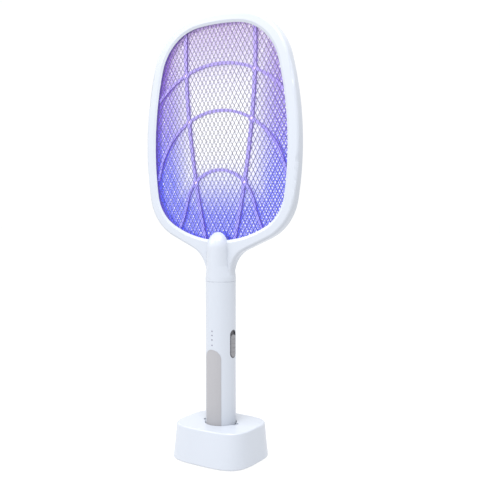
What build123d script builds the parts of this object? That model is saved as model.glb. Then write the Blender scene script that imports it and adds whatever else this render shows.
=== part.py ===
"""Electric fly swatter: a racket with a lit mesh head that stands in its charging base.

Millimetres, +Z up. The origin is the middle of the base's footprint on the surface it stands on;
the racket's front faces -Y and its slide switch is on the +X side.
"""

import os
from math import cos, radians, sin, sqrt

from build123d import *

os.makedirs("parts", exist_ok=True)

# --- Driving dimensions -----------------------------------------------------------------------

# Heights of the whole object
head_top = 517.9
seam_height = 207.6
racket_bottom = 15.3
base_top = 41.1

# Head: each arc is (radius, turn in degrees), from the top centre down the right-hand side
head_arcs = [(236.1, 8.6), (71.9, 66.0), (367.3, 25.3), (59.7, 56.0)]
shoulder_radius = 33.6
neck_half_width = 17.3
opening_top = 505.2
opening_arcs = [(253.8, 6.3), (62.7, 69.8), (386.2, 22.2), (49.5, 52.4)]
half_thickness = 6.75
rim_round = 3.5
bevel_width = 3.2
bevel_depth = 1.1

# Layers of the head, as distances from its middle plane
pocket_growth = 4.6
ledge_depth = 5.3
mesh_depth = 5.25
mesh_thickness = 0.4
mesh_growth = 3.6
web_depth = 4.8
web_inner_depth = 0.3
rib_depth = 2.7
web_growth = 4.3
web_lip = 1.0
grid_thickness = 0.5
grid_growth = 2.2

# Support web: arcs across the head as (apex height, radius, half width), ribs down it
web_arcs = [(460.5, 122.0, 89.5), (406.0, 91.1, 90.5), (337.0, 48.6, 47.6)]
leg_foot = (60.5, 264.0)
rib_offsets = [48.6, 44.4, 34.4]
rib_top = (48.6, 500.0)
rib_foot = (20.6, 256.0)
rib_width = 4.2
arc_width = 3.4
boss_radius = 4.0
pin_radius = 1.5

# Screws and their holes
screw_growth = 7.9
screw_steps = (0.08, 0.32, 0.56, 0.79, 0.985)
screw_hole_radius = 1.15
screw_reach = 4.7
screw_sink_radius = 2.4
screw_sink_depth = 2.4
neck_screw_height = 197.0

# Neck, and the lamp chamber where it meets the head
tongue_half_width = 15.45
tongue_foot = 226.0
dome_base = 246.5
dome_rise = 19.2
neck_bore_radius = 13.2
neck_bore_top = 243.0
spigot_radius = 15.3
spigot_foot = 186.0
chamber_foot = 238.0
chamber_width = 38.0
chamber_depth = 8.4
opening_foot = 255.0
lead_offset = 17.0
lamp_gap = 4.5

# Handle
handle_radius = 17.85
handle_wall = 2.4
inner_radius = handle_radius - handle_wall
grip_half_angle = 36.0
grip_arch_top = 128.7
grip_depth = 1.3
cap_flange = 3.0
cap_plug = 8.0

# Slide switch, centred on the +X side
switch_height = 134.8
bezel_length = 32.8
bezel_width = 10.8
bezel_rim = 0.9
knob_length = 26.1
knob_width = 8.4
knob_travel = 4.4
knob_face = handle_radius + 0.35
knob_gap = 0.25
recess_depth = 1.2
groove_steps = (-7.5, -2.5, 2.5, 7.5)
groove_radius = 1.1
groove_lift = 0.5
stem_width = 3.0
slot_width = 3.8
switch_face = 11.1
switch_body_size = (4.4, 8.0, 14.0)
switch_well = 3.4

# Base: half widths of the plan at the foot and at the top, and how square it is
foot_half = (51.1, 43.9)
top_half = (48.3, 39.0)
plan_power = 3.55
base_wall = 2.4
skirt_foot = 0.8
top_round = 1.8
foot_round = 1.2
socket_gap = 0.65
well_wall = 1.9
well_floor = 12.8
plate_thickness = 2.4
foot_radius = 5.5
post_x = 35.0
post_y = 26.0

# Charging contacts
contact_offset = 6.0
pin_tip = 16.5
pad_top = 21.3
pad_radius = 3.0
pad_stem_radius = 1.0
pad_thickness = 1.4
pin_clearance = 0.3

# Running clearances
slip = 0.15
skin_gap = 0.1


# --- Helpers ----------------------------------------------------------------------------------

def save(part, name):
    """Label a finished piece and write it as a STEP file under that name."""
    part.label = name
    export_step(part, f"parts/{name}.step")


def right_side(top, arcs, growth):
    """Draw tangent arcs down the right-hand side, grown outwards, and return the last one."""
    start, heading = (0, top + growth), (1, 0)
    for radius, turn in arcs:
        arc = JernArc(start, heading, radius + growth, -turn)
        start, heading = arc @ 1, arc % 1
    return arc


def opening_sketch(growth=0.0):
    """Outline of the head's opening, grown outwards all round."""
    turned = sum(turn for _, turn in opening_arcs)
    with BuildSketch() as outline:
        with BuildLine():
            side = right_side(opening_top, opening_arcs, growth)
            foot_radius_here = (side @ 1).X / sin(radians(180 - turned))
            foot = JernArc(side @ 1, side % 1, foot_radius_here, turned - 180)
            Line(foot @ 1, (0, opening_top + growth))
        make_face()
        mirror(about=Plane.YZ)
    return outline.sketch


def head_sketch():
    """Outline of the head with its shoulders, down to the seam with the handle."""
    turned = sum(turn for _, turn in head_arcs)
    reach = shoulder_radius * (1 - sin(radians(turned)))
    with BuildSketch() as outline:
        with BuildLine():
            side = right_side(head_top, head_arcs, 0.0)
            run = ((side @ 1).X - neck_half_width - reach) / -cos(radians(turned))
            shoulder = Line(side @ 1, side @ 1 + (side % 1) * run)
            flare = JernArc(shoulder @ 1, shoulder % 1, shoulder_radius, turned - 90)
            neck = Line(flare @ 1, (neck_half_width, seam_height))
            Line(neck @ 1, (0, seam_height))
            Line((0, seam_height), (0, head_top))
        make_face()
        mirror(about=Plane.YZ)
    return outline.sketch


def rim_screw_places():
    """Five places a side round the rim, midway between its pocket and its outer edge."""
    with BuildLine() as path:
        right_side(opening_top, opening_arcs, screw_growth)
    line = path.wires()[0]
    right = [line @ step for step in screw_steps]
    return [(side * place.X, place.Y) for place in right for side in (-1, 1)]


def arc_height(index, offset):
    """Height of a web arc at a sideways offset from the middle."""
    apex, radius, _ = web_arcs[index]
    return apex - radius + sqrt(radius**2 - offset**2)


def base_plan(half_widths, inset=0.0):
    """Rounded-square plan, drawn as a closed curve through points on its superellipse."""
    half_x, half_y = half_widths[0] - inset, half_widths[1] - inset
    angles = [radians(step * 11.25) for step in range(32)]

    def point(angle):
        along, across = cos(angle), sin(angle)
        x = half_x * abs(along) ** (2 / plan_power) * (1 if along >= 0 else -1)
        y = half_y * abs(across) ** (2 / plan_power) * (1 if across >= 0 else -1)
        return (x, y)

    with BuildSketch() as plan:
        with BuildLine():
            Spline([point(angle) for angle in angles], periodic=True)
        make_face()
    return plan.sketch


def half_at(height):
    """Half widths of the base's outside at a height."""
    share = height / base_top
    return tuple(foot + (top - foot) * share for foot, top in zip(foot_half, top_half))


def pan_screw(head_radius, head_height, shank_radius, length):
    """Cross-recess screw along +Z: its head's underside is at the origin, its tip at -length."""
    with BuildPart() as screw:
        Cylinder(head_radius, head_height, align=(Align.CENTER, Align.CENTER, Align.MIN))
        fillet(screw.edges().group_by(Axis.Z)[-1], head_height * 0.45)
        Cylinder(shank_radius, length, align=(Align.CENTER, Align.CENTER, Align.MAX))
        chamfer(screw.edges().group_by(Axis.Z)[0], shank_radius * 0.4)
        with Locations((0, 0, head_height)):
            arm = head_radius * 1.2
            Box(arm, arm * 0.25, head_height * 0.9, mode=Mode.SUBTRACT)
            Box(arm * 0.25, arm, head_height * 0.9, mode=Mode.SUBTRACT)
    return screw.part


# --- Head -------------------------------------------------------------------------------------

def neck_body():
    """Neck core on both sides of the middle plane: round at the seam, then a domed tongue."""
    with BuildPart() as neck:
        with BuildSketch(Plane.XY.offset(seam_height)):
            Circle(handle_radius)
        extrude(amount=5.0)
        with BuildSketch(Plane.XY.offset(seam_height + 5.0)):
            Circle(handle_radius)
        with BuildSketch(Plane.XY.offset(tongue_foot)):
            Ellipse(tongue_half_width, handle_radius)
        loft()
        with BuildSketch(Plane.XY.offset(tongue_foot)):
            Ellipse(tongue_half_width, handle_radius)
        extrude(amount=dome_base - tongue_foot)
        add(tongue_dome())
        with BuildSketch(Plane.XY.offset(spigot_foot)):
            Circle(spigot_radius)
        extrude(amount=seam_height - spigot_foot)
    return neck.part


def tongue_dome():
    """Upper half of an ellipsoid that closes the tongue."""
    with BuildPart() as ball:
        with BuildSketch(Plane.XZ):
            with BuildLine():
                Line((0, 0), (1, 0))
                CenterArc((0, 0), 1, 0, 90)
                Line((0, 1), (0, 0))
            make_face()
        revolve(axis=Axis.Z)
    dome = scale(ball.part, by=(tongue_half_width, handle_radius, dome_rise), mode=Mode.PRIVATE)
    return Pos(0, 0, dome_base) * dome


def frame_half(facing):
    """One half of the head, facing -1 for the front and +1 for the rear."""
    outward = Plane.XZ if facing < 0 else Plane(origin=(0, 0, 0), x_dir=(1, 0, 0), z_dir=(0, -1, 0))
    with BuildPart() as frame:
        with BuildSketch(outward):
            add(head_sketch())
        extrude(amount=-facing * half_thickness)
        face = frame.faces().sort_by(Axis.Y)[0 if facing < 0 else -1]
        rim = face.edges().filter_by(lambda edge: edge.center().Z > seam_height + 1)
        fillet(rim, rim_round)
        with BuildSketch(outward):
            add(opening_sketch())
        extrude(amount=-facing * half_thickness, mode=Mode.SUBTRACT)
        add(bevel_cutter(facing), mode=Mode.SUBTRACT)
        add(half_neck(facing))
        with BuildSketch(outward):
            add(opening_sketch(pocket_growth))
        extrude(amount=-facing * ledge_depth, mode=Mode.SUBTRACT)
        with Locations((0, 0, spigot_foot)):
            height = neck_bore_top - spigot_foot
            Cylinder(neck_bore_radius, height, align=(Align.CENTER, Align.CENTER, Align.MIN),
                     mode=Mode.SUBTRACT)
        with Locations((0, 0, chamber_foot)):
            Box(chamber_width, chamber_depth, opening_foot - pocket_growth + 1 - chamber_foot,
                align=(Align.CENTER, Align.CENTER, Align.MIN), mode=Mode.SUBTRACT)
        with Locations(*[(x, 0, z) for x, z in rim_screw_places()]):
            Cylinder(screw_hole_radius, 2 * screw_reach, rotation=(90, 0, 0), mode=Mode.SUBTRACT)
        if facing > 0:
            with Locations(*[(x, half_thickness, z) for x, z in rim_screw_places()]):
                Cylinder(screw_sink_radius, 2 * screw_sink_depth, rotation=(90, 0, 0),
                         mode=Mode.SUBTRACT)
            with Locations((0, spigot_radius, neck_screw_height)):
                Cylinder(screw_hole_radius, 8, rotation=(90, 0, 0), mode=Mode.SUBTRACT)
    return frame.part


def bevel_cutter(facing):
    """Sloping ring that bevels the opening's edge on one face of the head."""
    plane = Plane.XZ.offset(-facing * (half_thickness - bevel_depth))
    outer = Plane.XZ.offset(-facing * (half_thickness + 0.01))
    with BuildPart() as cutter:
        with BuildSketch(plane):
            add(opening_sketch(0.02))
        with BuildSketch(outer):
            add(opening_sketch(bevel_width))
        loft(ruled=True)
    return cutter.part


def half_neck(facing):
    """The neck core on one side of the middle plane."""
    with BuildPart() as half:
        add(neck_body())
        keep = Keep.TOP if facing > 0 else Keep.BOTTOM
        split(bisect_by=Plane.ZX, keep=keep)
    return half.part


def mesh_sheet(facing):
    """Expanded-metal sheet that covers the opening on one side."""
    with BuildPart() as sheet:
        with BuildSketch(Plane.XZ.offset(-facing * mesh_depth)):
            add(opening_sketch(mesh_growth))
        extrude(amount=facing * mesh_thickness)
    return sheet.part


def lamp_gap_sketch():
    """Gap at the foot of the webs where the lamps shine in."""
    with BuildSketch() as gap:
        with Locations((0, opening_foot)):
            Rectangle(chamber_width, 2 * lamp_gap)
    return gap.sketch


def ring_sketch():
    """Ring of a support web, which follows the edge of the opening."""
    with BuildSketch() as ring:
        add(opening_sketch(web_growth))
        add(opening_sketch(web_lip), mode=Mode.SUBTRACT)
        add(lamp_gap_sketch(), mode=Mode.SUBTRACT)
    return ring.sketch


def rib_sketch():
    """Two ribs, three arcs and the bosses where they cross."""
    knee_x = web_arcs[-1][2]
    with BuildSketch() as ribs:
        for index, (apex, radius, half_width) in enumerate(web_arcs):
            with BuildLine() as arc:
                end = arc_height(index, half_width)
                ThreePointArc((-half_width, end), (0, apex), (half_width, end))
            trace(arc.line, line_width=arc_width)
        for side in (-1, 1):
            with BuildLine() as leg:
                Spline((side * knee_x, arc_height(-1, knee_x)), (side * leg_foot[0], leg_foot[1]),
                       tangents=[(side, -5), (side, -2)])
            trace(leg.line, line_width=arc_width)
            nodes = [(side * x, arc_height(i, x)) for i, x in enumerate(rib_offsets)]
            with BuildLine() as rib:
                Spline((side * rib_top[0], rib_top[1]), *nodes, (side * rib_foot[0], rib_foot[1]))
            trace(rib.line, line_width=rib_width)
            with Locations(*nodes):
                Circle(boss_radius)
                Circle(pin_radius + slip, mode=Mode.SUBTRACT)
        add(opening_sketch(web_growth), mode=Mode.INTERSECT)
        add(lamp_gap_sketch(), mode=Mode.SUBTRACT)
    return ribs.sketch


def support_web(facing):
    """Plastic web that holds the outer mesh off the grid on one side."""
    with BuildPart() as web:
        with BuildSketch(Plane.XZ.offset(-facing * web_inner_depth)):
            add(ring_sketch())
        extrude(amount=-facing * (web_depth - web_inner_depth))
        with BuildSketch(Plane.XZ.offset(-facing * web_inner_depth)):
            add(rib_sketch())
        extrude(amount=-facing * (rib_depth - web_inner_depth))
    return web.part


def pin_places():
    """The six places where ribs and arcs of the web cross."""
    return [(side * x, arc_height(i, x)) for i, x in enumerate(rib_offsets) for side in (-1, 1)]


def make_head():
    save(frame_half(-1), "front_frame")
    save(frame_half(1), "rear_frame")
    save(mesh_sheet(-1), "front_mesh")
    save(mesh_sheet(1), "rear_mesh")
    save(support_web(-1), "front_web")
    save(support_web(1), "rear_web")

    with BuildPart() as grid:
        with BuildSketch(Plane.XZ.offset(-grid_thickness / 2)):
            add(opening_sketch(grid_growth))
            with Locations(*pin_places()):
                Circle(pin_radius + slip, mode=Mode.SUBTRACT)
            with Locations((0, opening_foot)):
                Rectangle(2 * (lead_offset - 1), 2 * lamp_gap, mode=Mode.SUBTRACT)
        extrude(amount=grid_thickness)
    save(grid.part, "high_voltage_grid")

    with BuildPart() as pins:
        with Locations(*[(x, 0, z) for x, z in pin_places()]):
            Cylinder(pin_radius, 2 * rib_depth, rotation=(90, 0, 0))
        chamfer(pins.edges().filter_by(GeomType.CIRCLE), 0.3)
    save(pins.part, "web_pins")

    screw = pan_screw(2.2, 1.8, 1.1, 8.8)
    with BuildPart() as screws:
        top = half_thickness - screw_sink_depth
        for x, z in rim_screw_places():
            add(Pos(x, top, z) * Rot(-90, 0, 0) * screw)
    save(screws.part, "frame_screws")


# --- Lamps and wiring in the neck -------------------------------------------------------------

lamp_places = [-12.0, -6.0, 0.0, 6.0, 12.0]
lamp_board_height = 246.0
lamp_board_thickness = 1.2
lamp_radius = 2.5
lamp_length = 8.6
lamp_flange = 0.4
lamp_board_size = (30.4, 7.8)
lead_radius = 0.6
lead_foot = 184.6


def make_lamps():
    with BuildPart() as board:
        with Locations((0, 0, lamp_board_height)):
            Box(*lamp_board_size, lamp_board_thickness, align=(Align.CENTER, Align.CENTER, Align.MIN))
    save(board.part, "lamp_board")

    with BuildPart() as lamps:
        with Locations(*[(x, 0, lamp_board_height + lamp_board_thickness) for x in lamp_places]):
            Cylinder(lamp_radius + lamp_flange, 1.0, align=(Align.CENTER, Align.CENTER, Align.MIN))
            Cylinder(lamp_radius, lamp_length, align=(Align.CENTER, Align.CENTER, Align.MIN))
        fillet(lamps.edges().group_by(Axis.Z)[-1], lamp_radius - 0.2)
    save(lamps.part, "uv_lamps")


def round_lead(points, bend):
    """Round insulated lead along straight runs with rounded bends."""
    with BuildPart() as lead:
        with BuildLine() as path:
            FilletPolyline(*points, radius=bend)
        with BuildSketch(Plane(path.line @ 0, z_dir=path.line % 0)):
            Circle(lead_radius)
        sweep(path=path.line)
    return lead.part


def make_leads():
    """Leads to the lamp board, leads that spread past it to the grid, and leads from the pads."""
    lamp_lead_end = lamp_board_height - skin_gap
    with BuildPart() as lamp_leads:
        for side in (-1, 1):
            x = 3 * side
            add(round_lead([(x, -3, lead_foot), (x, -3, 200), (x, 1, 212),
                            (x, 1, lamp_lead_end)], 6.0))
    save(lamp_leads.part, "lamp_leads")

    grid_lead_end = opening_foot - grid_growth
    with BuildPart() as grid_leads:
        for side in (-1, 1):
            near, far = 11.0 * side, lead_offset * side
            add(round_lead([(near, 0, lead_foot), (near, 0, chamber_foot + 1.5),
                            (far, 0, chamber_foot + 6.5), (far, 0, grid_lead_end)], 3.0))
    save(grid_leads.part, "grid_leads")

    with BuildPart() as charging_leads:
        for side in (-1, 1):
            near, far = contact_offset * side, (contact_offset + 3) * side
            add(round_lead([(near, 0, pad_top + skin_gap), (near, 0, pad_top + 2.5),
                            (far, -7.4, pad_top + 5), (far, -7.4, board_foot + 5)], 1.5))
    save(charging_leads.part, "charging_leads")


# --- Handle -----------------------------------------------------------------------------------

def grip_blank(margin):
    """The arched inlay's space in the handle's front, with a margin round it."""
    half_width = handle_radius * sin(radians(grip_half_angle)) + margin
    arch_centre = grip_arch_top - half_width + margin
    with BuildPart() as blank:
        with BuildSketch(Plane.XZ):
            with Locations((0, arch_centre)):
                Circle(half_width)
            with Locations((0, racket_bottom - 1)):
                Rectangle(2 * half_width, arch_centre - racket_bottom + 1,
                          align=(Align.CENTER, Align.MIN))
        extrude(amount=handle_radius + 1)
        with BuildSketch(Plane.XY):
            Circle(handle_radius + 1)
            Circle(handle_radius - grip_depth - margin, mode=Mode.SUBTRACT)
        extrude(amount=head_top, mode=Mode.INTERSECT)
    return blank.part


def switch_pill(length, width, inner, outer):
    """Round-ended block on the +X side, curved with the handle between two radii."""
    with BuildPart() as pill:
        with BuildSketch(Plane.YZ):
            with Locations((0, switch_height)):
                SlotOverall(length, width, rotation=90)
        extrude(amount=outer + 2)
        with BuildSketch(Plane.XY):
            Circle(outer)
            Circle(inner, mode=Mode.SUBTRACT)
        extrude(amount=head_top, mode=Mode.INTERSECT)
    return pill.part


indicator_heights = [150.3, 145.5, 140.3, 134.0]
indicator_radius = 0.8
sleeve_foot = racket_bottom + cap_flange + skin_gap
handle_screw_heights = [neck_screw_height, 104.0]


def make_sleeve():
    with BuildPart() as sleeve:
        with BuildSketch(Plane.XY.offset(sleeve_foot)):
            Circle(handle_radius)
            Circle(inner_radius, mode=Mode.SUBTRACT)
        extrude(amount=seam_height - skin_gap - sleeve_foot)
        chamfer(sleeve.faces().sort_by(Axis.Z)[-1].outer_wire().edges(), 0.35)
        add(grip_blank(slip), mode=Mode.SUBTRACT)
        add(switch_pill(bezel_length + slip, bezel_width + slip, 5, 30), mode=Mode.SUBTRACT)
        with Locations(*[(0, -handle_radius, z) for z in indicator_heights]):
            Cylinder(indicator_radius + slip, 10, rotation=(90, 0, 0), mode=Mode.SUBTRACT)
        with Locations(*[(0, handle_radius, z) for z in handle_screw_heights]):
            Cylinder(screw_hole_radius, 10, rotation=(90, 0, 0), mode=Mode.SUBTRACT)
            Cylinder(screw_sink_radius, 3.0, rotation=(90, 0, 0), mode=Mode.SUBTRACT)
    save(sleeve.part, "handle_sleeve")


def make_grip():
    with BuildPart() as grip:
        add(grip_blank(0.0))
        with BuildSketch(Plane.XY.offset(sleeve_foot)):
            Circle(handle_radius + 0.05)
        extrude(amount=head_top - sleeve_foot, mode=Mode.INTERSECT)
    save(grip.part, "grip_panel")


def make_switch():
    stem_height = switch_height - bezel_length / 2 + bezel_rim + knob_gap + knob_length / 2
    floor_radius = handle_radius - recess_depth
    with BuildPart() as bezel:
        add(switch_pill(bezel_length, bezel_width, inner_radius + 0.1, handle_radius + 0.15))
        add(switch_pill(bezel_length - 2 * bezel_rim, bezel_width - 2 * bezel_rim,
                        floor_radius, handle_radius + 2), mode=Mode.SUBTRACT)
        with Locations((handle_radius, 0, stem_height + knob_travel / 2)):
            Box(8, slot_width, slot_width + knob_travel, mode=Mode.SUBTRACT)
    save(bezel.part, "switch_bezel")

    with BuildPart() as knob:
        with BuildSketch(Plane.YZ):
            with Locations((0, stem_height)):
                SlotOverall(knob_length, knob_width, rotation=90)
        extrude(amount=handle_radius + 2)
        with BuildSketch(Plane.XY):
            Circle(knob_face)
            Circle(floor_radius + knob_gap, mode=Mode.SUBTRACT)
        extrude(amount=head_top, mode=Mode.INTERSECT)
        for step in groove_steps:
            with Locations((knob_face + groove_lift, 0, stem_height + step)):
                Cylinder(groove_radius, knob_width + 1, rotation=(90, 0, 0), mode=Mode.SUBTRACT)
        with Locations((switch_face + skin_gap, 0, stem_height)):
            Box(floor_radius + 2 * knob_gap - switch_face, stem_width, stem_width,
                align=(Align.MIN, Align.CENTER, Align.CENTER))
    save(knob.part, "switch_knob")

    with BuildPart() as body:
        with Locations((switch_face, -0.6, stem_height + knob_travel / 2)):
            Box(*switch_body_size, align=(Align.MAX, Align.CENTER, Align.CENTER))
        with Locations((switch_face, 0, stem_height + knob_travel / 2)):
            Box(switch_well, slot_width, slot_width + knob_travel,
                align=(Align.MAX, Align.CENTER, Align.CENTER), mode=Mode.SUBTRACT)
    save(body.part, "slide_switch")


board_face = -6.6
board_back = -5.0
board_foot = 101.0
board_head = 184.0
board_width = 27.2
chip_width = 2.0
chip_height = 1.0
transformer_height = 160.0
transformer_size = (15, 9, 16)
coil_offset = 6.6
coil_radius = 6.5
coil_length = 9.0
capacitor_height = 114.0
capacitor_size = (8, 11, 18)
trough_inner = 13.6
trough_outer = 15.2
window_size = (13, 12)


def make_electronics():
    with BuildPart() as board:
        with Locations((0, board_face, board_foot)):
            Box(board_width, board_back - board_face, board_head - board_foot,
                align=(Align.CENTER, Align.MIN, Align.MIN))
    save(board.part, "main_board")

    with BuildPart() as lights:
        for z in indicator_heights:
            with BuildSketch(Plane.XZ.offset(-board_face + skin_gap)):
                with Locations((0, z)):
                    Rectangle(chip_width, chip_width)
            extrude(amount=chip_height)
            with BuildSketch(Plane.XZ.offset(-board_face + skin_gap + chip_height)):
                with Locations((0, z)):
                    Circle(indicator_radius)
            extrude(amount=handle_radius + board_face - skin_gap - chip_height)
    save(lights.part, "indicator_lights")

    with BuildPart() as transformer:
        with Locations((0, board_back + skin_gap, transformer_height)):
            Box(*transformer_size, align=(Align.CENTER, Align.MIN, Align.CENTER))
        with Locations((0, board_back + skin_gap + coil_offset, transformer_height)):
            Cylinder(coil_radius, coil_length)
    save(transformer.part, "high_voltage_transformer")

    with BuildPart() as capacitor:
        with Locations((-4.5, board_back + skin_gap, capacitor_height)):
            Box(*capacitor_size, align=(Align.CENTER, Align.MIN, Align.CENTER))
        fillet(capacitor.edges().filter_by(Axis.Z), 1.5)
    save(capacitor.part, "high_voltage_capacitor")


battery_radius = 9.2
battery_foot = 30.0
battery_length = 65.0
battery_back = 2.5
nub_radius = 2.8
nub_height = 1.6
tab_size = (10, 10, 0.5)
spring_radii = (3.6, 2.2)
spring_height = 1.4
shelf_thickness = 1.8


def make_battery():
    with BuildPart() as cell:
        with Locations((0, battery_back, battery_foot)):
            Cylinder(battery_radius, battery_length,
                     align=(Align.CENTER, Align.CENTER, Align.MIN))
        fillet(cell.edges().filter_by(GeomType.CIRCLE), 0.8)
        with Locations((0, battery_back, battery_foot + battery_length)):
            Cylinder(nub_radius, nub_height, align=(Align.CENTER, Align.CENTER, Align.MIN))
    save(cell.part, "battery_cell")

    with BuildPart() as contacts:
        with Locations((0, battery_back, battery_foot - 2.0)):
            Box(*tab_size, align=(Align.CENTER, Align.CENTER, Align.MIN))
        with Locations((0, battery_back, battery_foot - 1.5)):
            Cone(*spring_radii, spring_height, align=(Align.CENTER, Align.CENTER, Align.MIN))
        with Locations((0, battery_back, battery_foot + battery_length + nub_height + skin_gap)):
            Box(*tab_size, align=(Align.CENTER, Align.CENTER, Align.MIN))
    save(contacts.part, "battery_contacts")


def make_chassis():
    """Trough behind the board that carries it, the battery and the contacts."""
    shelf_levels = (battery_foot - 4.0, battery_foot + battery_length + 2.3)
    with BuildPart() as chassis:
        with BuildSketch(Plane.XY.offset(shelf_levels[0])):
            Circle(trough_outer)
            Circle(trough_inner, mode=Mode.SUBTRACT)
            with Locations((0, board_back + skin_gap)):
                Rectangle(40, 40, align=(Align.CENTER, Align.MAX), mode=Mode.SUBTRACT)
        extrude(amount=board_head - shelf_levels[0])
        for level in shelf_levels:
            with BuildSketch(Plane.XY.offset(level)):
                Circle(trough_inner + 0.2)
                with Locations((0, board_back + skin_gap)):
                    Rectangle(40, 40, align=(Align.CENTER, Align.MAX), mode=Mode.SUBTRACT)
            extrude(amount=shelf_thickness)
        with Locations((handle_radius, 0, switch_height)):
            Box(*window_size, bezel_length - 2, mode=Mode.SUBTRACT)
        with Locations((0, trough_outer - 0.8, handle_screw_heights[1])):
            Cylinder(screw_hole_radius, 6, rotation=(90, 0, 0), mode=Mode.SUBTRACT)
    save(chassis.part, "handle_chassis")


def make_end_cap():
    with BuildPart() as cap:
        with Locations((0, 0, racket_bottom)):
            Cylinder(handle_radius, cap_flange, align=(Align.CENTER, Align.CENTER, Align.MIN))
        chamfer(cap.edges().group_by(Axis.Z)[0], 0.8)
        with Locations((0, 0, racket_bottom + cap_flange)):
            Cylinder(inner_radius - slip, cap_plug - 0.5,
                     align=(Align.CENTER, Align.CENTER, Align.MIN))
            with Locations((0, 0, 1.0)):
                Cylinder(inner_radius - 2.0, cap_plug,
                         align=(Align.CENTER, Align.CENTER, Align.MIN), mode=Mode.SUBTRACT)
        with Locations(*[(side * contact_offset, 0, racket_bottom) for side in (-1, 1)]):
            Cylinder(pad_radius + skin_gap, 3.0,
                     align=(Align.CENTER, Align.CENTER, Align.MIN), mode=Mode.SUBTRACT)
            Cylinder(pad_stem_radius + skin_gap, 10.0, mode=Mode.SUBTRACT)
    save(cap.part, "end_cap")

    with BuildPart() as pads:
        with Locations(*[(side * contact_offset, 0, pin_tip + pin_clearance) for side in (-1, 1)]):
            Cylinder(pad_radius, pad_thickness, align=(Align.CENTER, Align.CENTER, Align.MIN))
            Cylinder(pad_stem_radius, pad_top - pin_tip - pin_clearance,
                     align=(Align.CENTER, Align.CENTER, Align.MIN))
    save(pads.part, "charge_contacts")


def make_handle_screws():
    screw = pan_screw(2.2, 1.3, 1.1, 4.5)
    head_seat = handle_radius - 1.5
    with BuildPart() as screws:
        for z in handle_screw_heights:
            add(Pos(0, head_seat, z) * Rot(-90, 0, 0) * screw)
    save(screws.part, "handle_screws")


def make_handle():
    make_sleeve()
    make_grip()
    make_switch()
    make_electronics()
    make_battery()
    make_chassis()
    make_end_cap()
    make_handle_screws()


# --- Base -------------------------------------------------------------------------------------

screw_posts = [(sx * post_x, sy * post_y) for sx in (-1, 1) for sy in (-1, 1)]
socket_radius = handle_radius + socket_gap
plate_top = skirt_foot + plate_thickness
port_height = 7.6
port_width = 9.4
port_thickness = 3.6
ear_radius = 5.2
ear_depth = 1.8
post_radius = 3.6
screw_head_well = 1.3
foot_sink = 0.8
board_level = 4.6
board_post_radius = 2.0
pin_hole_radius = 1.5
holder_level = 5.9
holder_size = (20, 8, 6.8)


def make_base_shell():
    top_plane = Plane.XY.offset(base_top)
    inner_top = base_top - base_wall
    with BuildPart() as shell:
        with BuildSketch(Plane.XY.offset(skirt_foot)):
            add(base_plan(half_at(skirt_foot)))
        with BuildSketch(top_plane):
            add(base_plan(top_half))
        loft()
        fillet(shell.faces().sort_by(Axis.Z)[-1].edges(), top_round)
        fillet(shell.faces().sort_by(Axis.Z)[0].edges(), foot_round)
        with BuildSketch(Plane.XY.offset(skirt_foot)):
            add(base_plan(half_at(skirt_foot), base_wall))
        with BuildSketch(Plane.XY.offset(inner_top)):
            add(base_plan(half_at(inner_top), base_wall))
        loft(mode=Mode.SUBTRACT)
        with Locations(*[(x, y, plate_top + 0.1) for x, y in screw_posts]):
            Cylinder(post_radius, inner_top - plate_top + 0.4, mode=Mode.ADD,
                     align=(Align.CENTER, Align.CENTER, Align.MIN))
            Cylinder(screw_hole_radius, 10, mode=Mode.SUBTRACT,
                     align=(Align.CENTER, Align.CENTER, Align.MIN))
        with BuildSketch(top_plane):
            Circle(socket_radius)
        extrude(amount=-base_top / 2, mode=Mode.SUBTRACT)
        chamfer(socket_mouth_edges(shell), 0.5)
        with BuildSketch(top_plane):
            with Locations((-socket_radius, 0), (socket_radius, 0)):
                Circle(ear_radius)
        extrude(amount=-ear_depth, mode=Mode.SUBTRACT)
        with BuildSketch(Plane.XZ.offset(-foot_half[1] - 1)):
            with Locations((0, port_height)):
                SlotOverall(port_width, port_thickness)
        extrude(amount=12, mode=Mode.SUBTRACT)
    save(shell.part, "base_shell")


def socket_mouth_edges(shell):
    """The circle where the socket meets the top face."""
    circles = shell.edges().filter_by(GeomType.CIRCLE)
    mouth = circles.filter_by(lambda edge: abs(edge.radius - socket_radius) < 0.01)
    return mouth.sort_by(Axis.Z)[-1]


def make_base_plate():
    with BuildPart() as plate:
        with BuildSketch(Plane.XY.offset(skirt_foot)):
            add(base_plan(half_at(plate_top), base_wall + slip))
        extrude(amount=plate_thickness)
        with Locations(*[(x, y, skirt_foot) for x, y in screw_posts]):
            Cylinder(screw_hole_radius, 10, mode=Mode.SUBTRACT)
            Cylinder(2.6, 2 * screw_head_well, mode=Mode.SUBTRACT)
        with Locations(*[(x, y, skirt_foot) for x, y in foot_places()]):
            Cylinder(foot_radius + slip, 2 * foot_sink, mode=Mode.SUBTRACT)
        with Locations(*[(x, y, plate_top) for x, y in board_posts()]):
            Cylinder(board_post_radius, board_level - skin_gap - plate_top,
                     align=(Align.CENTER, Align.CENTER, Align.MIN))
    save(plate.part, "base_plate")

    with BuildPart() as feet:
        with Locations(*[(x, y, 0) for x, y in foot_places()]):
            Cylinder(foot_radius, skirt_foot + foot_sink - skin_gap,
                     align=(Align.CENTER, Align.CENTER, Align.MIN))
        fillet(feet.edges().group_by(Axis.Z)[0], 0.5)
    save(feet.part, "rubber_feet")

    screw = pan_screw(2.3, 1.2, 1.1, 7.0)
    with BuildPart() as screws:
        for x, y in screw_posts:
            add(Pos(x, y, skirt_foot + screw_head_well - 0.05) * Rot(180, 0, 0) * screw)
    save(screws.part, "base_screws")


def foot_places():
    """Feet stand outside the screws, near the plate's corners."""
    return [(sx * 38.0, sy * 14.0) for sx in (-1, 1) for sy in (-1, 1)]


def board_posts():
    return [(sx * 12.0, y) for sx in (-1, 1) for y in (-8.0, 30.0)]


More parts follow.
